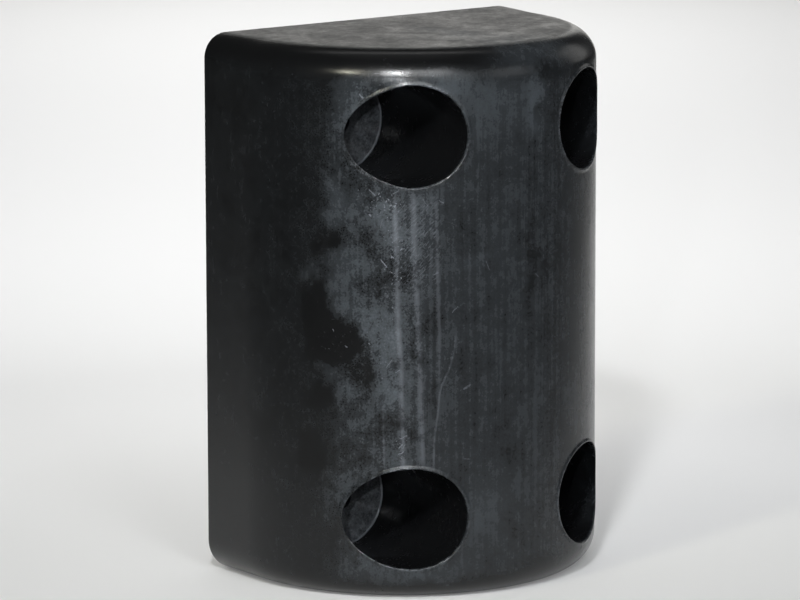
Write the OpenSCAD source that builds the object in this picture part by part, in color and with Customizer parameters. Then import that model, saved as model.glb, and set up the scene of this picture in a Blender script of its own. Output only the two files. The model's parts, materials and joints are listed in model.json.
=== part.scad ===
// Moulded rubber bumper: one solid block with a flat back and a round nose.
// Frame: X across the width, Z up the height, the nose points to -Y.
// The origin is the centre of the flat back, which is the mounting face.

/* [Body] */
// Overall height
bumper_h = 304.8; // [200:0.1:610]
// Width across the flat back, and the diameter of the round nose
bumper_w = 216; // [200:1:300]
// Depth of the straight sides, from the flat back to the start of the nose
side_d = 39; // [20:1:60]
// Radius rolled onto the top and bottom edges
end_r = 18; // [2:0.5:20]

/* [Anchor holes] */
// Distance between hole centres across the width
hole_span_x = 118; // [84:1:124]
// Distance from each end to the nearest hole centres
hole_end_d = 46.4; // [40:0.1:60]
// Diameter of the counterbore that takes the washer and the socket
pocket_d = 56; // [36:1:60]
// Distance from the flat back to the seat that the washer bears on
seat_d = 61; // [30:1:80]
// Radius left in the corner between the seat and the counterbore wall
pocket_corner_r = 1.5; // [0.5:0.5:4]
// Diameter of the hole for the anchor bolt
bolt_d = 13; // [8:1:24]

/* [Hidden] */

$fn = 144;
nose_r = bumper_w / 2;
bumper_d = side_d + nose_r;
pocket_r = pocket_d / 2;
pocket_depth = bumper_d - seat_d;
hole_x = hole_span_x / 2;
hole_z = bumper_h / 2 - hole_end_d;
cut = 1;
rubber = [0.17, 0.175, 0.18];

// Right half of the outline seen from the nose, with the end radius on its outer corners
module half_outline() {
    straight_h = bumper_h - 2 * end_r;
    translate([0, -bumper_h / 2]) square([nose_r - end_r, bumper_h]);
    translate([0, -straight_h / 2]) square([nose_r, straight_h]);
    for (side = [-1, 1])
        translate([nose_r - end_r, side * straight_h / 2]) circle(r = end_r);
}

// Flat-backed part with straight sides
module back_block() {
    rotate([90, 0, 0]) linear_extrude(side_d) {
        half_outline();
        mirror([1, 0]) half_outline();
    }
}

// Half-round nose: the same outline swept half a turn, so the end radius runs round it unbroken
module round_nose() {
    translate([0, -side_d, 0]) rotate([0, 0, 180]) rotate_extrude(angle = 180) half_outline();
}

// Counterbore outline, from its axis out: flat seat, corner radius and straight wall
module pocket_outline() {
    square([pocket_r - pocket_corner_r, pocket_depth + cut]);
    translate([0, pocket_corner_r]) square([pocket_r, pocket_depth + cut - pocket_corner_r]);
    translate([pocket_r - pocket_corner_r, pocket_corner_r]) circle(r = pocket_corner_r);
}

// Stepped hole: a counterbore open through the nose, then the bolt hole on to the back
module anchor_hole() {
    translate([0, -seat_d, 0]) rotate([90, 0, 0]) rotate_extrude() pocket_outline();
    translate([0, cut, 0]) rotate([90, 0, 0]) cylinder(d = bolt_d, h = seat_d + 2 * cut);
}

module bumper_body() {
    color(rubber) difference() {
        union() {
            back_block();
            round_nose();
        }
        for (x = [-hole_x, hole_x], z = [-hole_z, hole_z])
            translate([x, 0, z]) anchor_hole();
    }
}

bumper_body();
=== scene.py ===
import json
import math

import bmesh
import bpy
from mathutils import Matrix, Vector


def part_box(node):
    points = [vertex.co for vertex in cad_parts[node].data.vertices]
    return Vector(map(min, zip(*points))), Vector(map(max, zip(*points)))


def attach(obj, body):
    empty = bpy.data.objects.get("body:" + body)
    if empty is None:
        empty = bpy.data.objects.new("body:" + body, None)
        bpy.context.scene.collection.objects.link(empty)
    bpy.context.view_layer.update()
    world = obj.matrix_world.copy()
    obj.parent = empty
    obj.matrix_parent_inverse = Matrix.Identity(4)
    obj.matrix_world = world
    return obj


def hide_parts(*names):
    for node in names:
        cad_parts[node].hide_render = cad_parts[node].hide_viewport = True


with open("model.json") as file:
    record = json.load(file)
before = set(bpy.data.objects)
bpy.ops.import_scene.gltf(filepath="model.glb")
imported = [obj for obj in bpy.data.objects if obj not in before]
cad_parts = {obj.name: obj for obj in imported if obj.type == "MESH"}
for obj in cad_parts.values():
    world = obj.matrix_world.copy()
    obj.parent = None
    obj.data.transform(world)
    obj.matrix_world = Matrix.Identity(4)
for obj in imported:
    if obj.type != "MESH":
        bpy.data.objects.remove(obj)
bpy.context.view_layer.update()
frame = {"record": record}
nodeName = "bumper_body"
low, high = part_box(nodeName)
samePlace = 1e-5                                    # places closer than this, in m, count as one
print("frame loaded, CAD box", [round(v, 4) for v in (*low, *high)])


def mountOf(name):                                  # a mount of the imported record
    return next(m for m in frame["record"]["mounts"] if m["name"] == name)


boltPattern = mountOf("bolt_holes")["dims"]
body = {
    "noseR": (high.x - low.x) / 2,                  # round nose
    "height": high.z - low.z,
    "endR": 0.018,                                  # rolled top and bottom edges
    "topCornerR": 0.0138,                           # tighter at the upper back corners
    "holeX": boltPattern["spacing_x_mm"] / 2000,
    "holeZ": boltPattern["spacing_y_mm"] / 2000,
    "boltR": boltPattern["hole_r_mm"] / 1000,
    "pocketR": 0.028,                               # counterbore
    "pocketCorner": 0.0015,                         # radius between seat and pocket wall
    "seatY": -0.061,
    "noseSteps": 144,
    "wallRows": 112,
    "endSteps": 12,
    "sideSteps": 13,
    "flatRim": 0.002,                               # narrow ring that keeps the flat ends flat
    "mouthMargin": 0.005,                           # window cut for a mouth, past the counterbore
    "mouthSpare": 0.002,                            # and how far past that its border is looked for
    "mouthCuts": 3,                                 # loops between the window and the first ring
    # rings in towards the mouth, and how far each stands proud: a low molded lip
    "mouthRings": ((0.0315, 0), (0.0304, 0), (0.0300, 0.00012), (0.0290, 0.0006), (0.0280, 0.00068)),
    "mouthRound": 0.0007,
    "mouthOff": (0.0011, 0.0016),                   # most its edge is off the plain hole: radius, depth
    "mouthTurn": 0.8,                               # and the turn in radians that tells it from the rings
    "mouthTuck": {(-1, 1): 0.0009, (-1, -1): -0.0003},  # outer side of each mouth drawn in, as molded
    "wallSteps": 14,                                # pocket wall, mouth to seat
    "cornerSteps": 5,
    "seatRings": (0.020, 0.0125, 0.0085),
    "boltSteps": 6,
    "boltCollar": 0.002,                            # flat ring round each bolt hole in the back
    "backBand": 0.003,                              # flat band inside the back's edge
    "backRound": 0.0006,
}
body["sideD"] = high.y - low.y - body["noseR"]


def pick(kind, test):                               # selects what passes the test, in edit mode
    bpy.ops.mesh.select_mode(type=kind)
    bpy.ops.mesh.select_all(action='DESELECT')
    mesh = bpy.context.edit_object.data
    bm = bmesh.from_edit_mesh(mesh)
    chosen = [p for p in {"VERT": bm.verts, "EDGE": bm.edges, "FACE": bm.faces}[kind] if test(p)]
    for p in chosen:
        p.select_set(True)
    bm.select_flush_mode()
    bmesh.update_edit_mesh(mesh)
    return len(chosen)


def placeSelected(place):                           # puts each selected vertex where place says
    mesh = bpy.context.edit_object.data
    bm = bmesh.from_edit_mesh(mesh)
    for v in bm.verts:
        if v.select:
            v.co = place(v.co)
    bmesh.update_edit_mesh(mesh)


def extrudeTo(place):                               # extrudes the selection and places the new end
    bpy.ops.mesh.extrude_region_move()
    placeSelected(place)


def middle(edge):
    return (edge.verts[0].co + edge.verts[1].co) / 2


def at(value, place):
    return abs(value - place) < samePlace


def ease(share):                                    # from 0 to 1, smooth at both ends
    share = min(1, max(0, share))
    return share * share * (3 - 2 * share)


def noseY(x, z):                                    # the curved front, as a height over the back plane
    into = max(0, abs(z) - body["height"] / 2 + body["endR"])
    r = body["noseR"] - body["endR"] + math.sqrt(max(0, body["endR"] ** 2 - into ** 2))
    return -body["sideD"] - math.sqrt(max(0, r * r - x * x))


def makeShell():                                    # half outline, spun half a turn, then straight sides
    b = body
    straight = b["height"] / 2 - b["endR"]
    bpy.ops.object.select_all(action='DESELECT')
    bpy.ops.mesh.primitive_plane_add(size=2 * straight, location=(0, 0, 0))
    shell = bpy.context.object
    shell.name = "bumper_rubber"
    bpy.ops.object.mode_set(mode='EDIT')
    pick("VERT", lambda v: v.co.x < 0)
    bpy.ops.mesh.delete(type='VERT')
    pick("VERT", lambda v: True)                    # one edge is left: it becomes the wall line
    placeSelected(lambda c: Vector((b["noseR"], -b["sideD"], c.y)))
    pick("EDGE", lambda e: True)
    bpy.ops.mesh.subdivide(number_cuts=b["wallRows"] - 1)
    for end in (-1, 1):
        pick("VERT", lambda v: v.co.z * end > straight - samePlace)
        bpy.ops.mesh.spin(steps=b["endSteps"], angle=end * math.pi / 2, axis=(0, 1, 0),
                          center=(b["noseR"] - b["endR"], -b["sideD"], end * straight))
        pick("VERT", lambda v: v.co.z * end > b["height"] / 2 - samePlace)
        extrudeTo(lambda c: c - Vector((b["flatRim"], 0, 0)))
    pick("VERT", lambda v: True)
    bpy.ops.mesh.spin(steps=b["noseSteps"], angle=math.pi, axis=(0, 0, 1), center=(0, -b["sideD"], 0))
    pick("EDGE", lambda e: all(at(v.co.y, -b["sideD"]) for v in e.verts))
    for step in range(b["sideSteps"]):
        extrudeTo(lambda c: c + Vector((0, b["sideD"] / b["sideSteps"], 0)))
    for end in (-1, 1):
        top = end * b["height"] / 2
        inner = b["noseR"] - b["endR"] - b["flatRim"]
        pick("VERT", lambda v: at(v.co.y, 0) and at(v.co.z, top) and at(abs(v.co.x), inner))
        bpy.ops.mesh.edge_face_add()
        pick("EDGE", lambda e: (e.is_boundary or e.is_wire) and all(at(v.co.z, top) for v in e.verts)
             and (not at(middle(e).y, 0) or abs(middle(e).x) < inner))
        bpy.ops.mesh.edge_face_add()
    bpy.ops.object.mode_set(mode='OBJECT')
    print("shell made,", len(shell.data.polygons), "faces")
    return shell


def tightenCorners(shell):                          # the rolled top edge narrows along the straight sides
    b = body
    rimX, rimZ = b["noseR"] - b["endR"], b["height"] / 2 - b["endR"]

    def place(c):
        r = b["endR"] + (b["topCornerR"] - b["endR"]) * ease(1 + c.y / b["sideD"])
        outX, outZ = (abs(c.x) - rimX) / b["endR"] * r, (c.z - rimZ) / b["endR"] * r
        return Vector((math.copysign(b["noseR"] - r + outX, c.x), c.y, b["height"] / 2 - r + outZ))

    bpy.context.view_layer.objects.active = shell
    bpy.ops.object.mode_set(mode='EDIT')
    pick("VERT", lambda v: v.co.y > -b["sideD"] + samePlace and v.co.z > rimZ - samePlace
         and abs(v.co.x) > rimX - samePlace)
    placeSelected(place)
    bpy.ops.object.mode_set(mode='OBJECT')


def makeMouth(shell, sideX, sideZ):                 # round mouth, pocket, seat and bolt hole at one corner
    b = body
    cx, cz = sideX * b["holeX"], sideZ * b["holeZ"]
    tuck = b["mouthTuck"].get((sideX, sideZ), 0)
    reach = b["pocketR"] + b["mouthMargin"]

    def inWindow(c, spare=0.0):
        angle = math.atan2(c.x * sideX, -c.y - b["sideD"])
        first, last = (math.asin((b["holeX"] + s * (reach + spare)) / b["noseR"]) for s in (-1, 1))
        return c.y < -b["sideD"] and first < angle < last and abs(c.z - cz) < reach + spare

    def onNose(radius, proud=0):                    # the same way from the hole's axis, at this radius
        def place(c):
            away = Vector((c.x - cx, 0, c.z - cz)).normalized()
            away *= radius - tuck * ease(away.x * sideX * 2)
            spot = Vector((cx + away.x, noseY(cx + away.x, cz + away.z), cz + away.z))
            return spot + Vector((spot.x, spot.y + b["sideD"], 0)).normalized() * proud
        return place

    def atDepth(radius, y):
        def place(c):
            away = Vector((c.x - cx, 0, c.z - cz)).normalized() * radius
            return Vector((cx + away.x, y, cz + away.z))
        return place

    bpy.context.view_layer.objects.active = shell
    bpy.ops.object.mode_set(mode='EDIT')
    pick("FACE", lambda f: inWindow(f.calc_center_median()))
    bpy.ops.mesh.delete(type='FACE')
    border = pick("EDGE", lambda e: e.is_boundary and inWindow(middle(e), b["mouthSpare"]))
    ring = b["mouthRings"][0][0]
    bpy.ops.mesh.select_all(action='DESELECT')
    bpy.ops.mesh.primitive_circle_add(vertices=border, radius=ring, location=(cx, 0, cz),
                                      rotation=(math.pi / 2, 0, 0))
    placeSelected(onNose(ring))
    pick("EDGE", lambda e: (e.is_boundary or e.is_wire) and inWindow(middle(e), b["mouthSpare"]))
    bpy.ops.mesh.bridge_edge_loops(number_cuts=b["mouthCuts"], interpolation='LINEAR')
    pick("VERT", lambda v: inWindow(v.co) and not v.is_boundary)
    placeSelected(lambda c: Vector((c.x, noseY(c.x, c.z), c.z)))
    pick("EDGE", lambda e: e.is_boundary and inWindow(middle(e)))
    for ring in b["mouthRings"][1:]:
        extrudeTo(onNose(*ring))
    cornerY = b["seatY"] - b["pocketCorner"]
    for step in range(b["wallSteps"]):
        share = 1 / (b["wallSteps"] - step)

        def sink(c):                                # down to the corner, and out to the full pocket
            away = Vector((c.x - cx, 0, c.z - cz)).normalized() * b["pocketR"]
            full = Vector((cx + away.x, cornerY, cz + away.z))
            return c + (full - c) * share
        extrudeTo(sink)
    for step in range(1, b["cornerSteps"] + 1):
        turn = step / b["cornerSteps"] * math.pi / 2
        extrudeTo(atDepth(b["pocketR"] - b["pocketCorner"] * (1 - math.cos(turn)),
                          b["seatY"] - b["pocketCorner"] * (1 - math.sin(turn))))
    for ring in (*b["seatRings"], b["boltR"]):
        extrudeTo(atDepth(ring, b["seatY"]))
    for step in range(1, b["boltSteps"] + 1):
        extrudeTo(atDepth(b["boltR"], b["seatY"] * (1 - step / b["boltSteps"])))
    extrudeTo(atDepth(b["boltR"] + b["boltCollar"], 0))
    bpy.ops.object.mode_set(mode='OBJECT')


def closeBack(shell):                               # flat back, with the bolt holes left open
    b = body

    def nearBolt(c):
        return math.hypot(abs(c.x) - b["holeX"], abs(c.z) - b["holeZ"]) < b["pocketR"]

    bpy.context.view_layer.objects.active = shell
    bpy.ops.object.mode_set(mode='EDIT')
    pick("EDGE", lambda e: e.is_boundary and at(middle(e).y, 0) and not nearBolt(middle(e)))
    bpy.ops.mesh.edge_face_add()
    bpy.ops.mesh.inset(thickness=b["backBand"])
    bpy.ops.mesh.delete(type='ONLY_FACE')
    pick("EDGE", lambda e: e.is_boundary and at(middle(e).y, 0))
    bpy.ops.mesh.fill(use_beauty=True)
    bpy.ops.mesh.select_all(action='SELECT')
    bpy.ops.mesh.remove_doubles(threshold=1e-6)
    bpy.ops.mesh.normals_make_consistent(inside=False)
    bpy.ops.object.mode_set(mode='OBJECT')


def softenEdges(shell):                             # worn mouth rims, and the crisp edge of the back
    b = body

    def onMouth(e):
        m = middle(e)
        away = math.hypot(abs(m.x) - b["holeX"], abs(m.z) - b["holeZ"])
        offR, offY = b["mouthOff"]
        return (abs(away - b["pocketR"]) < offR and e.calc_face_angle(0) > b["mouthTurn"]
                and all(abs(v.co.y - noseY(v.co.x, v.co.z)) < offY for v in e.verts))

    def onBackRim(e):
        return all(at(v.co.y, 0) for v in e.verts) and e.calc_face_angle(0) > 1

    bpy.context.view_layer.objects.active = shell
    bpy.ops.object.mode_set(mode='EDIT')
    pick("EDGE", onMouth)
    bpy.ops.mesh.bevel(offset=b["mouthRound"], segments=4, profile=0.5)
    pick("EDGE", onBackRim)
    bpy.ops.mesh.bevel(offset=b["backRound"], segments=2, profile=0.5)
    bpy.ops.object.mode_set(mode='OBJECT')
    bpy.ops.object.select_all(action='DESELECT')
    shell.select_set(True)
    bpy.ops.object.shade_smooth_by_angle(angle=math.radians(40))
    weighted = shell.modifiers.new("facing", 'WEIGHTED_NORMAL')
    weighted.keep_sharp = True
    bpy.ops.object.modifier_apply(modifier=weighted.name)


def makeBumper():
    shell = makeShell()
    tightenCorners(shell)
    for sideX in (-1, 1):
        for sideZ in (-1, 1):
            makeMouth(shell, sideX, sideZ)
    closeBack(shell)
    softenEdges(shell)
    print("bumper made,", len(shell.data.polygons), "faces")
    return shell


rubber = {
    "black": (0.0040, 0.0042, 0.0045, 1),           # clean rubber
    "bloomAndSheen": (0.104, 0.120, 0.136, 1),              # pale wax that has come to the surface; in a few patches a painted sheen by the top highlight
    "scuffAndGlint": (0.190, 0.204, 0.232, 1),              # rubbed and whitened spots; also the painted highlights on the mouths' rims and round the seats
    "pocket": (0.0045, 0.0047, 0.0052, 1),          # clean, shaded counterbore wall
    "seat": (0.135, 0.146, 0.162, 1),               # dusty counterbore seats
    "shine": 0.35,                                  # specular level
    "gloss": 0.235,                                 # roughness of clean rubber
    "pocketGloss": 0.02,                            # pockets are a little rougher
    "dull": 0.16,                                   # more of it where the bloom is thick
    "scuffDull": 0.12,                              # and where the surface is scuffed
    # noises: size in mm, detail, roughness, wobble
    "cloud": (21, 4, 0.50, 0.5),
    "wisp": (5.0, 5, 0.65, 0.3),
    "fine": (1.1, 3, 0.6),
    "streaky": (2.6, 4, 0.6),                       # upright streaks
    "upright": (1, 1, 0.028),                       # the squeeze that draws them out
    "drift": (14, 3, 0.5),                          # makes the edges of patches wander
    "driftReach": (24, 24, 0),                      # mm
    "shake": (1.6, 2, 0.5),                         # makes scratches ragged
    "shakeReach": (1.1, 1.1, 0),
    # mixes: a base, then the shares of cloud, wisp, fine and streaky
    "cloudMix": (0.23, 0.62, 0.58, 0.80, 0.36),
    "plainMix": (0.21, 0.24, 0, 0.10, 0.38),
    "hazeMix": (0.02, 0.22, 0.22, 0.30, 0.10),
    "grainMix": (0.60, 0, 0.45, 0.50, 0),
    "brokenMix": (0, 1.6, 1.6, 0, 0),               # breaks up the rubbed streaks
    "mottleMix": (0.50, 0, 1.6, 1.2, 0),            # seats
    "rubbedMix": (0.15, 0.20, 0.22, 0.20, 0),       # extra roughness of the top face
    "glossMix": (0, 0.10, 0.12, 0, 0.10),           # roughness everywhere
    # relief: size in mm, detail, roughness, then height in mm; the last is upright
    "relief": ((42, 2, 0.4, 0.40), (7, 3, 0.5, 0.045), (1.1, 3, 0.6, 0.026)),
    "uprightRelief": (2.6, 4, 0.6, 0.010),
    # zones, mm: where each starts, is full, is still full, and ends
    "cloudBand": (-114, -90, -68, -46),             # girth of the cloudy band
    "grainBand": (-76, -56, 70, 130),               # girth of the even grey with fine streaks
    "wander": 36,                                   # how far the clouds push those edges
    "wall": (-146, -128, 126, 140),                 # height, about between the rolled edges
    "greyOnRoll": 0.25,                             # share of the even grey that goes on over them
    "lowerRoll": (-150, -139),                      # height: no bloom below, all of it above
    "upperRoll": (147, 134),                        # and the other way round at the top
    "rightRoll": (-35, 10, 0.8),                    # girth from which the top roll is dusty all the same, and so carries a painted sheen patch
    "rollRagged": 9,                                # mm by which the fine noise shifts those ends
    "topFace": (151.6, 152.2),                      # dusty and rubbed, whatever the roll does
    "front": (168, 150),                            # girth at which patches, their painted sheen, and the worn and painted-highlight rims end
    "bloomSoft": 0.25,                              # how softly the bloom thins out
    "insideHole": ((0.6, 0.1), (0.3, 1.0), (-1, -4)),  # mm past its radius, mm under the nose, and y
    "patchFade": (1.35, 0.1),                       # a patch is gone and full at these shares of its size
    # bloom and bare patches on the unrolled front, and a few painted sheen patches by the top highlight:
    # girth, height and half sizes in mm, amount
    "bloomAndSheenPatches": (
        (-106, 70, 9, 15, 0.42), (-77, 62, 8, 17, 0.55), (-98, 34, 15, 12, 0.36), (-106, 20, 11, 9, 0.30),
        (-95, 8, 14, 9, 0.40), (-85, 4, 8, 12, 0.30), (-121, 28, 6, 9, 0.22), (-77, -14, 7, 28, 0.42),
        (-74, -37, 8, 9, 0.50), (-107, -24, 7, 6, 0.22), (-97, -33, 7, 5, 0.26), (-108, -55, 17, 12, 0.06),
        (-88, -56, 13, 13, 0.08), (-92, 68, 10, 12, 0.22), (-66, 46, 8, 16, 0.22), (-15, 124, 30, 22, 0.22),
        (9, 124, 6, 17, 0.40), (12, 108, 10, 8, 0.22), (-19, -103, 16, 17, 0.18), (-24, 37, 16, 6, 0.14),
        (-56, 66, 14, 16, 0.20), (-104, -3, 12, 11, -0.50), (-95, -9, 8, 7, -0.40),
        (-88, -24, 7, 12, -0.45), (-117, 8, 9, 22, -0.40), (-113, -10, 11, 14, -0.40),
        (-117, -38, 9, 8, -0.30), (-122, -70, 8, 12, -0.30), (-112, 47, 7, 8, -0.25),
        (-53, 3, 5, 13, -0.22), (-51, -36, 5, 11, -0.22), (-63, -64, 5, 9, -0.25), (-86, 48, 8, 7, -0.18),
        # painted highlight and sheen, not bloom: the patches at girth -66 height 137, -99 129, -40 134 and
        # 18 148
        (8, 45, 4, 40, -0.14), (17, 30, 3, 30, -0.12), (-66, 137, 32, 6, 0.45), (-99, 129, 13, 14, 0.32),
        (-40, 134, 16, 8, 0.42), (-66, -138, 46, 8, 0.26), (18, 148, 38, 10, 0.38),
    ),
    # long rubbed streaks: width and amount, then points as height, girth
    "streaks": (
        (2.4, 0.34, ((-78, -68), (-50, -68.5), (-30, -68.8), (-12, -69.5), (0, -70.5), (20, -71),
                     (45, -71.5), (74, -72.5))),
        (2.4, 0.28, ((-76, -57), (-50, -58), (-30, -58.5), (0, -59.5), (20, -60.5), (50, -61.5),
                     (76, -62))),
        (1.6, 0.16, ((-30, -48), (-20, -48), (0, -48), (20, -48.5), (50, -49.3), (74, -50))),
        (0.9, 0.24, ((-78, -51), (-60, -50.5), (-45, -48.5), (-35, -47.5), (-28, -45), (-20, -41.5),
                     (-3, -38.5))),
        (0.9, 0.28, ((-78, -78.3), (-60, -78.6), (-48, -78.8), (-38, -79))),
    ),
    "streakWobble": 1.3,                            # mm
    "streakEnds": (-3, 5, -6, 3),                   # mm past its lowest and highest points
    "streakBreaks": (-0.75, 0.35),                  # mix at which one is broken off, and whole
    # nicks and short scratches: from and to as girth, height, then radius in mm and amount
    "nicks": (
        (-81, 74.5, -80.6, 75, 0.7, 0.9), (-77, 70.5, -76.4, 71, 0.7, 0.9),
        (-86, 63.5, -85.4, 62.8, 0.9, 1.1), (-78, 66, -77.5, 66, 0.5, 0.8),
        (-74, 25, -73.6, 25.6, 0.5, 0.8), (-69, 44, -68.6, 44.5, 0.9, 1.1),
        (-76.5, 18, -76, 18.5, 1.3, 0.35), (-107, -1, -106.6, -2, 0.6, 0.7),
        (-100, -10, -99, -10.5, 0.7, 0.7), (-86.5, -8, -86, -8.6, 0.7, 0.7), (-79.7, 38.5, -77, 35, 0.6, 1),
        (-48, 71, -45.5, 69.5, 0.5, 0.7), (-51, 30, -48.5, 31, 0.5, 0.5), (-40.5, 9, -37.5, 12, 0.4, 0.7),
        (-74, -17, -77, -21, 0.4, 0.7), (-69.5, -61, -67, -59.5, 0.5, 0.8),
        (-70.5, -69.5, -68, -68.5, 0.5, 0.9), (-34, -73, -31, -73.5, 0.5, 0.4),
        (-34, -34, -30.5, -32, 1.2, 0.35), (-91.2, 129, -89.4, 127, 0.9, 1.1), (-57, 72, -54, 68, 0.4, 0.6),
        (-72, -24, -69.5, -22.5, 0.5, 0.7), (12, 26, 14, 24, 0.6, 0.45), (-21, 36, -19, 31, 0.5, 0.4),
        (-68, -66, -66.6, -63.8, 0.4, 0.8), (-80, 56, -79, 60, 0.5, 0.5), (-86, 77, -83, 74, 0.6, 0.8),
        (-73, 75, -70, 76.5, 0.6, 0.6),
    ),
    "nickScale": (0.5, 0.75),                       # makes all of them finer and fainter
    "nickFade": (1.25, 0.45),                       # radii at which one is gone and full
    # where small bright specks crowd: girth, height, half sizes, amount
    "busy": ((-77, 71, 15, 9, 0.7), (-73, 40, 7, 36, 0.7), (-68, -66, 6, 14, 0.8), (-98, 130, 9, 6, 0.4),
             (-106, -6, 12, 10, 0.2), (-66, 136, 26, 6, 0.6), (-80, -20, 8, 30, 0.4)),
    "speck": (1.3, 2, 0.4),                         # noise that they are cut from, and where it is cut
    "speckCut": (0.72, 0.80),
    "speckCrowd": 0.14,
    "speckAmount": (0.12, 0.30, 0.50),              # anywhere, in the cloudy band, where they crowd
    # slanting hairlines between the holes: lean, their size in mm, and where they are
    "hairLean": 48,
    "hairSize": (3.6, 0.8, 1),
    "hair": (1.0, 2, 0.5),
    "hairCut": (0.52, 0.68, 0.30),
    "hairGirth": (-82, -66, -52, -44),
    "hairHeight": (5, 40, 66, 78),
    # whitened parts of the mouths' rims, partly wear and partly a painted highlight: girth, height, half
    # sizes, amount
    "rimWearAndGlint": (
        (-50, 132, 13, 7, 1.0), (-92, 84, 10, 7, 0.6), (-64, 78, 22, 5, 0.3), (-37, 88, 6, 9, 0.15),
        (-72, -79, 24, 6, 1.0), (-66, -133, 40, 8, 0.25), (34, 106, 8, 28, 0.30), (34, -106, 8, 28, 0.30),
    ),
    "rimWidth": (1.7, 0.6),                         # mm past the counterbore: gone at, full at
    "rimY": (-20, -40),                             # keeps their wear off the back
    "rimBase": 0.05,
    "rimRagged": (-0.15, 0.25),                     # noise at which a rim is bare, and fully worn
    "seatRim": (0.4, 1.4),                          # mm inside the pocket's wall
    "seatMottle": (-0.3, 1.3),                      # mix at which a seat is bare, and fully dusty
    # painted highlight: a pale line in the corner round each seat, where the small fillet catches the
    # light: mm in from the wall, mm up from the seat, amount
    "seatGlintLine": ((1.3, 0.7), (1.1, 0.5), 0.6),
}


def nodeTools(tree):                                # short ways to add the nodes used below
    nodes, links = tree.nodes, tree.links

    def feed(socket, value):
        if isinstance(value, bpy.types.NodeSocket):
            links.new(value, socket)
        else:
            socket.default_value = value

    def calc(kind, *values):
        node = nodes.new("ShaderNodeMath")
        node.operation = kind
        for socket, value in zip(node.inputs, values):
            feed(socket, value)
        return node.outputs[0]

    def vector(kind, *values):
        node = nodes.new("ShaderNodeVectorMath")
        node.operation = kind
        for socket, value in zip(node.inputs, values):
            feed(socket, value)
        return node.outputs[1 if kind in ('LENGTH', 'DOT_PRODUCT', 'DISTANCE') else 0]

    def span(value, start, end, full=1.0):          # 0 at start, full at end, smooth between
        node = nodes.new("ShaderNodeMapRange")
        node.interpolation_type = 'SMOOTHSTEP'
        for socket, given in zip(node.inputs, (value, start, end, 0.0, full)):
            feed(socket, given)
        return node.outputs[0]

    def noise(place, size, detail=3.0, rough=0.5, wobble=0.0, colour=False):   # size in mm
        node = nodes.new("ShaderNodeTexNoise")
        feed(node.inputs["Vector"], place)
        node.inputs["Scale"].default_value = 1 / size
        node.inputs["Detail"].default_value = detail
        node.inputs["Roughness"].default_value = rough
        node.inputs["Distortion"].default_value = wobble
        return node.outputs[1 if colour else 0]

    def mix(share, first, second):
        node = nodes.new("ShaderNodeMix")
        node.data_type = 'RGBA'
        feed(node.inputs[0], share)
        feed(node.inputs[6], first)
        feed(node.inputs[7], second)
        return node.outputs[2]

    def total(values, kind='ADD'):
        result = None
        for value in values:
            result = value if result is None else calc(kind, result, value)
        return result

    return feed, calc, vector, span, noise, mix, total


def makeNickGroup():                                # how much of a point lies on a short scratch
    group = bpy.data.node_groups.new("nick", 'ShaderNodeTree')
    for name in ("Place", "From", "To"):
        group.interface.new_socket(name, in_out='INPUT', socket_type='NodeSocketVector')
    for name in ("Radius", "Amount"):
        group.interface.new_socket(name, in_out='INPUT', socket_type='NodeSocketFloat')
    group.interface.new_socket("Mark", in_out='OUTPUT', socket_type='NodeSocketFloat')
    feed, calc, vector, span, noise, mix, total = nodeTools(group)
    given = group.nodes.new("NodeGroupInput").outputs
    along = vector('SUBTRACT', given["To"], given["From"])
    away = vector('SUBTRACT', given["Place"], given["From"])
    share = calc('DIVIDE', vector('DOT_PRODUCT', away, along), vector('DOT_PRODUCT', along, along))
    share.node.use_clamp = True
    onLine = vector('MULTIPLY', along, share)
    gap = vector('LENGTH', vector('SUBTRACT', away, onLine))
    mark = span(calc('DIVIDE', gap, given["Radius"]), *rubber["nickFade"], given["Amount"])
    group.links.new(mark, group.nodes.new("NodeGroupOutput").inputs["Mark"])
    return group


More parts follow.
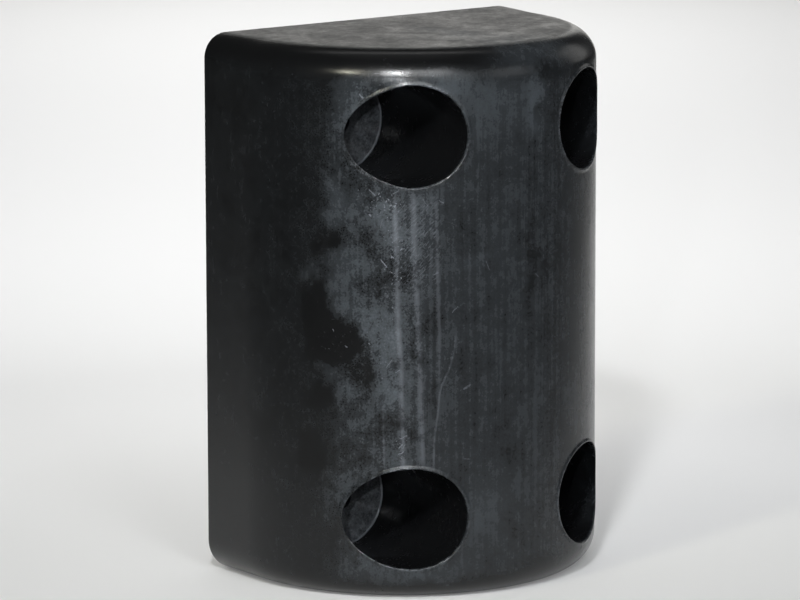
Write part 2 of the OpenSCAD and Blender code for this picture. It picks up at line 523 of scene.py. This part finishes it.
def makeRubber():
    b, m = body, rubber
    material = bpy.data.materials.new("molded_rubber")
    material.use_nodes = True
    tree = material.node_tree
    feed, calc, vector, span, noise, mix, total = nodeTools(tree)
    shader = tree.nodes["Principled BSDF"]

    # places in mm: in space, and on the unrolled front as girth and height
    coordinates = tree.nodes.new("ShaderNodeTexCoord").outputs["Object"]
    place = vector('MULTIPLY', coordinates, (1000, 1000, 1000))
    split = tree.nodes.new("ShaderNodeSeparateXYZ")
    feed(split.inputs[0], place)
    x, y, z = split.outputs
    noseSide = calc('ADD', y, b["sideD"] * 1000)
    girth = calc('MULTIPLY', calc('ARCTAN2', x, calc('MULTIPLY', noseSide, -1)), b["noseR"] * 1000)
    join = tree.nodes.new("ShaderNodeCombineXYZ")
    feed(join.inputs[0], girth)
    feed(join.inputs[1], z)
    flat = join.outputs[0]
    upright = vector('MULTIPLY', place, m["upright"])
    frontOnly = span(calc('ABSOLUTE', girth), *m["front"])

    # how far a point is from the nearest hole's axis, and what is inside that hole
    outX = calc('SUBTRACT', calc('ABSOLUTE', x), b["holeX"] * 1000)
    outZ = calc('SUBTRACT', calc('ABSOLUTE', z), b["holeZ"] * 1000)
    holeR = calc('SQRT', calc('ADD', calc('MULTIPLY', outX, outX), calc('MULTIPLY', outZ, outZ)))
    around = calc('SQRT', calc('ADD', calc('MULTIPLY', x, x), calc('MULTIPLY', noseSide, noseSide)))
    sunk = calc('SUBTRACT', b["noseR"] * 1000, around)             # depth under the round nose
    r, deep = b["pocketR"] * 1000, b["seatY"] * 1000
    (past0, past1), under, backY = m["insideHole"]
    inside = total((span(holeR, r + past0, r + past1), span(sunk, *under), span(y, *backY)), 'MULTIPLY')
    seat = calc('MULTIPLY', inside, span(holeR, r - m["seatRim"][0], r - m["seatRim"][1]))
    outside = calc('SUBTRACT', 1, inside)

    # noises that break up every edge
    cloud = calc('SUBTRACT', noise(place, *m["cloud"]), 0.5)
    wisp = calc('SUBTRACT', noise(place, *m["wisp"]), 0.5)
    fine = calc('SUBTRACT', noise(place, *m["fine"]), 0.5)
    streaky = calc('SUBTRACT', noise(upright, *m["streaky"]), 0.5)
    drift = vector('SUBTRACT', noise(place, *m["drift"], colour=True), (0.5, 0.5, 0.5))
    loose = vector('MULTIPLY_ADD', drift, m["driftReach"], flat)   # for patches: wandering edges
    shake = vector('SUBTRACT', noise(place, *m["shake"], colour=True), (0.5, 0.5, 0.5))
    rough = vector('MULTIPLY_ADD', shake, m["shakeReach"], flat)   # for scratches: ragged edges

    def mixed(name):                                # one of the mixes above
        base, *shares = m[name]
        used = [(value, share) for value, share in zip((cloud, wisp, fine, streaky), shares) if share]
        return total((base, *(calc('MULTIPLY', value, share) for value, share in used)))

    def zone(value, start, full, stillFull, end):
        return calc('MULTIPLY', span(value, start, full), span(value, end, stillFull))

    def patch(u, v, reachU, reachV, amount):
        away = vector('MULTIPLY', vector('SUBTRACT', loose, (u, v, 0)), (1 / reachU, 1 / reachV, 0))
        return span(vector('LENGTH', away), *m["patchFade"], amount)

    # the cloudy band, the smoother grey right of it, and a thin haze everywhere
    wander = calc('MULTIPLY_ADD', cloud, m["wander"], girth)
    wall = zone(z, *m["wall"])
    band = calc('MULTIPLY', zone(wander, *m["cloudBand"]), wall)
    g0, g1, g2, g3 = m["grainBand"]
    onRoll = calc('MULTIPLY_ADD', wall, 1 - m["greyOnRoll"], m["greyOnRoll"])
    grey = total((span(wander, g0, g1), span(girth, g3, g2), onRoll), 'MULTIPLY')
    # bloom patches, with the painted sheen patches among them
    bloomAndSheenPatches = calc('MULTIPLY', total(patch(*given) for given in m["bloomAndSheenPatches"]), frontOnly)
    clouds = calc('MULTIPLY', band, mixed("cloudMix"))
    plain = calc('MULTIPLY', grey, mixed("plainMix"))
    bloomAndSheen = total((bloomAndSheenPatches, clouds, plain, mixed("hazeMix")))
    bloomAndSheen = calc('MULTIPLY', calc('SMOOTH_MAX', bloomAndSheen, 0.0, m["bloomSoft"]), mixed("grainMix"))

    # rubbed streaks between the two left holes; the curve holds heights to +-reach, girths down to -reach
    broken = span(mixed("brokenMix"), *m["streakBreaks"])
    reach = 100

    def streak(width, amount, points):
        line = tree.nodes.new("ShaderNodeFloatCurve")
        line.mapping.extend = 'HORIZONTAL'
        curve = line.mapping.curves[0]
        spots = [((v + reach) / (2 * reach), (u + reach) / reach) for v, u in points]
        curve.points[0].location, curve.points[1].location = spots[0], spots[-1]
        for spot in spots[1:-1]:
            curve.points.new(*spot)
        line.mapping.update()
        feed(line.inputs["Value"], calc('MULTIPLY_ADD', z, 1 / (2 * reach), 0.5))
        middleU = calc('MULTIPLY_ADD', line.outputs[0], reach, -reach)
        gap = calc('SUBTRACT', calc('MULTIPLY_ADD', fine, m["streakWobble"], girth), middleU)
        tips = (points[0][0], points[0][0], points[-1][0], points[-1][0])
        ends = zone(z, *(tip + past for tip, past in zip(tips, m["streakEnds"])))
        return total((span(calc('ABSOLUTE', gap), width, 0.0, amount), ends, broken), 'MULTIPLY')

    # nicks and scratches
    nickGroup = makeNickGroup()

    def scratch(u0, v0, u1, v1, radius, amount):
        node = tree.nodes.new("ShaderNodeGroup")
        node.node_tree = nickGroup
        feed(node.inputs["Place"], rough)
        feed(node.inputs["From"], (u0, v0, 0))
        feed(node.inputs["To"], (u1, v1, 0))
        feed(node.inputs["Radius"], radius * m["nickScale"][0])
        feed(node.inputs["Amount"], amount * m["nickScale"][1])
        return node.outputs[0]

    rub = total(streak(*given) for given in m["streaks"])
    nick = total((scratch(*given) for given in m["nicks"]), 'MAXIMUM')
    busy = total(patch(*given) for given in m["busy"])
    anywhere, inBand, crowded = m["speckAmount"]
    dotted = calc('MULTIPLY_ADD', busy, m["speckCrowd"], noise(place, *m["speck"]))
    specks = calc('MULTIPLY', span(dotted, *m["speckCut"]),
                  calc('MULTIPLY_ADD', band, inBand, calc('MULTIPLY_ADD', busy, crowded, anywhere)))
    slant = tree.nodes.new("ShaderNodeMapping")
    slant.vector_type = 'TEXTURE'
    slant.inputs["Rotation"].default_value = (0, 0, math.radians(m["hairLean"]))
    slant.inputs["Scale"].default_value = m["hairSize"]
    feed(slant.inputs["Vector"], flat)
    hair = total((span(noise(slant.outputs[0], *m["hair"]), *m["hairCut"]), zone(girth, *m["hairGirth"]),
                  zone(z, *m["hairHeight"])), 'MULTIPLY')

    # rims of the mouths: whitened by wear, and partly a painted highlight
    outer, inner = m["rimWidth"]
    ring = calc('MULTIPLY', span(holeR, r + outer, r + inner), span(y, *m["rimY"]))
    whitenedAndGlinting = calc('MULTIPLY_ADD', total(patch(*given) for given in m["rimWearAndGlint"]), frontOnly, m["rimBase"])
    wornAndGlinting = total((ring, span(calc('ADD', wisp, fine), *m["rimRagged"]), whitenedAndGlinting), 'MULTIPLY')

    scuffsAndGlints = calc('MULTIPLY', total((rub, nick, specks, hair, wornAndGlinting)), outside)
    scuffsAndGlints = calc('MINIMUM', scuffsAndGlints, 1.0)

    # seats: dull and mottled, with a painted highlight, a pale line, round them
    dusty = calc('MULTIPLY', seat, span(mixed("mottleMix"), *m["seatMottle"]))
    # painted highlight in the corner round each seat
    (in0, in1), (up0, up1), glintAmount = m["seatGlintLine"]
    line = total((inside, span(holeR, r - in0, r - in1), span(y, deep - up0, deep - up1, glintAmount)),
                 'MULTIPLY')

    # little bloom on the rolled edges, with a soft, ragged end
    ragged = calc('MULTIPLY_ADD', wisp, m["rollRagged"], z)
    unrolled = calc('MAXIMUM', span(ragged, *m["upperRoll"]), span(girth, *m["rightRoll"]))
    unrolled = calc('MULTIPLY', unrolled, span(ragged, *m["lowerRoll"]))
    upper = span(z, *m["topFace"])
    coatAndSheen = total((bloomAndSheen, outside, calc('MAXIMUM', unrolled, upper)), 'MULTIPLY')

    colour = mix(inside, m["black"], m["pocket"])
    # bloom, and the painted sheen of a few patches
    colour = mix(coatAndSheen, colour, m["bloomAndSheen"])
    # scuffs, and the rims' whitening with its painted highlight
    colour = mix(scuffsAndGlints, colour, m["scuffAndGlint"])
    # the pale line round each seat is a painted highlight
    colour = mix(line, mix(dusty, colour, m["seat"]), m["scuffAndGlint"])
    feed(shader.inputs["Base Color"], colour)

    # rougher where it is coated, scuffed or rubbed, as the top face is
    shader.inputs["Specular IOR Level"].default_value = m["shine"]
    clean = calc('MULTIPLY_ADD', inside, m["pocketGloss"], m["gloss"])
    dull = total((clean, calc('MULTIPLY', coatAndSheen, m["dull"]), calc('MULTIPLY', scuffsAndGlints, m["scuffDull"]),
                  calc('MULTIPLY', upper, mixed("rubbedMix")), mixed("glossMix")))
    feed(shader.inputs["Roughness"], dull)

    # slight waves, skin texture and fine grain
    waves = [(place, *given) for given in m["relief"]] + [(upright, *m["uprightRelief"])]
    relief = total([calc('MULTIPLY', noise(*given), height) for *given, height in waves])
    bump = tree.nodes.new("ShaderNodeBump")
    bump.inputs["Strength"].default_value = 1.0
    bump.inputs["Distance"].default_value = 0.001   # heights above are in mm
    feed(bump.inputs["Height"], relief)
    feed(shader.inputs["Normal"], bump.outputs[0])
    print("rubber made,", len(tree.nodes), "nodes")
    return material


def place3d(azimuth, elevation, distance):          # from the part's origin, angles in degrees
    azimuth, elevation = math.radians(azimuth), math.radians(elevation)
    return distance * Vector((math.sin(azimuth) * math.cos(elevation),
                              -math.cos(azimuth) * math.cos(elevation), math.sin(elevation)))


camera = {
    "azimuth": -35.3,                               # degrees, to the left of the nose
    "elevation": 10.28,
    "distance": 3.093,
    "lens": 244.2,
    "roll": -0.13,
    "aimRight": 0.0206,                             # where the picture's centre falls, beside the origin
    "aimDown": 0.0092,
}


def makeCamera():
    c = camera
    back = place3d(c["azimuth"], c["elevation"], 1)
    right = place3d(c["azimuth"] + 90, 0, 1)
    place = back * c["distance"]
    target = right * c["aimRight"] - back.cross(right) * c["aimDown"]
    bpy.ops.object.camera_add(location=place)
    eye = bpy.context.object
    turn = (target - place).to_track_quat('-Z', 'Y').to_matrix()
    eye.rotation_euler = (turn @ Matrix.Rotation(math.radians(c["roll"]), 3, 'Z')).to_euler()
    eye.data.lens = c["lens"]
    eye.data.clip_end = 30
    bpy.context.scene.camera = eye


studio = {
    "floor": (0.72, 0.72, 0.72, 1),
    "floorSize": 24,                                # m
    "floorGloss": 0.85,                             # roughness
    "floorShine": 0.2,                              # specular level
    "floorGlow": 0.13,                              # painted pool of light on the floor under the bumper, seen by camera and glossy rays, its shadow kept
    "glowReach": (0.55, 0.30),                      # distances, m, at which it is gone and at which full
    "world": 0.04,
    # azimuth, elevation, distance, size in m, level at the bumper, colour, and spread where it has a grid
    "lamps": {
        "key": (-40, 36, 2.2, 0.13, 0.66, (0.97, 0.985, 1.0), 44),
        "keySpill": (-17, 36, 2.2, 0.60, 0.28, (0.97, 0.985, 1.0), 44),
        "keyWarm": (-69, 34.0, 2.2, 0.22, 0.25, (1.0, 0.97, 0.80), 44),
        "front": (-5, 20, 2.2, 0.90, 0.08, (0.93, 0.98, 1.0)),
        "right": (30, 20, 2.2, 0.90, 0.064, (0.95, 0.98, 1.0)),
        "rightSide": (95, 20, 2.2, 0.90, 0.036, (1.0, 1.0, 0.98)),
        "back": (146, 10, 3.0, 1.60, 0.085, (1.0, 0.99, 0.95)),
        "over": (150, 80, 2.2, 1.20, 0.012, (1.0, 1.0, 1.0)),
        "flash": (-39, 13.0, 3.0, 0.04, 0.240, (0.96, 0.98, 1.0), 44),
    },
    # washes the floor behind the bumper from above: place, width and length in m, watts, and its spread
    "floorLamp": {"azimuth": 145, "out": 1.55, "up": 1.25, "size": (1.3, 2.4), "watts": 11, "spread": 70},
}


def aimedLamp(name, azimuth, elevation, distance, size, level, colour, spread=180):
    place = place3d(azimuth, elevation, distance)
    bpy.ops.object.light_add(type='AREA', location=place)
    lamp = bpy.context.object
    lamp.name = name
    lamp.rotation_euler = (-place).to_track_quat('-Z', 'Y').to_euler()
    lamp.data.size = size
    lamp.data.color = colour
    half = math.radians(spread) / 2
    focus = 1 if spread == 180 else math.tan(half) / (math.tan(half) - half)   # what a grid gathers
    lamp.data.spread = 2 * half
    lamp.data.energy = level * math.pi ** 2 * distance ** 2 / focus
    lamp.visible_camera = False
    return lamp


def makeFloor():
    s = studio
    bpy.ops.object.select_all(action='DESELECT')
    bpy.ops.mesh.primitive_plane_add(size=s["floorSize"], location=(0, 0, low.z))
    floor = bpy.context.object
    floor.name = "floor"
    paint = bpy.data.materials.new("floor_paint")
    paint.use_nodes = True
    shader = paint.node_tree.nodes["Principled BSDF"]
    shader.inputs["Base Color"].default_value = s["floor"]
    shader.inputs["Roughness"].default_value = s["floorGloss"]
    shader.inputs["Specular IOR Level"].default_value = s["floorShine"]
    shader.inputs["Emission Color"].default_value = (1, 1, 1, 1)
    seen = paint.node_tree.nodes.new("ShaderNodeLightPath").outputs
    feed, calc, vector, span, noise, mix, total = nodeTools(paint.node_tree)
    where = paint.node_tree.nodes.new("ShaderNodeTexCoord").outputs["Object"]
    # painted pool of light: the floor itself glows near the bumper, not a lamp
    near = span(vector('LENGTH', where), *s["glowReach"], s["floorGlow"])
    direct = total((seen["Is Camera Ray"], seen["Is Glossy Ray"], seen["Is Transmission Ray"]), 'MAXIMUM')
    feed(shader.inputs["Emission Strength"], calc('MULTIPLY', direct, near))
    floor.data.materials.append(paint)


def makeStudio():
    s = studio
    makeFloor()
    for name, given in s["lamps"].items():
        aimedLamp(name, *given)
    given = s["floorLamp"]
    place = place3d(given["azimuth"], 0, given["out"]) + Vector((0, 0, low.z + given["up"]))
    bpy.ops.object.light_add(type='AREA', location=place)
    wash = bpy.context.object
    wash.name = "floorWash"
    wash.rotation_euler = (0, 0, math.radians(given["azimuth"]))
    wash.data.shape = 'RECTANGLE'
    wash.data.size, wash.data.size_y = given["size"]
    wash.data.spread = math.radians(given["spread"])
    wash.data.energy = given["watts"]
    wash.visible_camera = False
    world = bpy.data.worlds.new("studio")
    bpy.context.scene.world = world
    world.use_nodes = True
    background = world.node_tree.nodes["Background"]
    background.inputs["Color"].default_value = (1, 1, 1, 1)
    background.inputs["Strength"].default_value = s["world"]
    bpy.context.scene.view_settings.view_transform = 'Standard'
    print("studio made,", len(s["lamps"]) + 1, "lamps")


makeCamera()
bumper = makeBumper()
bumper.data.materials.append(makeRubber())
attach(bumper, "root")
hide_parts(nodeName)
makeStudio()
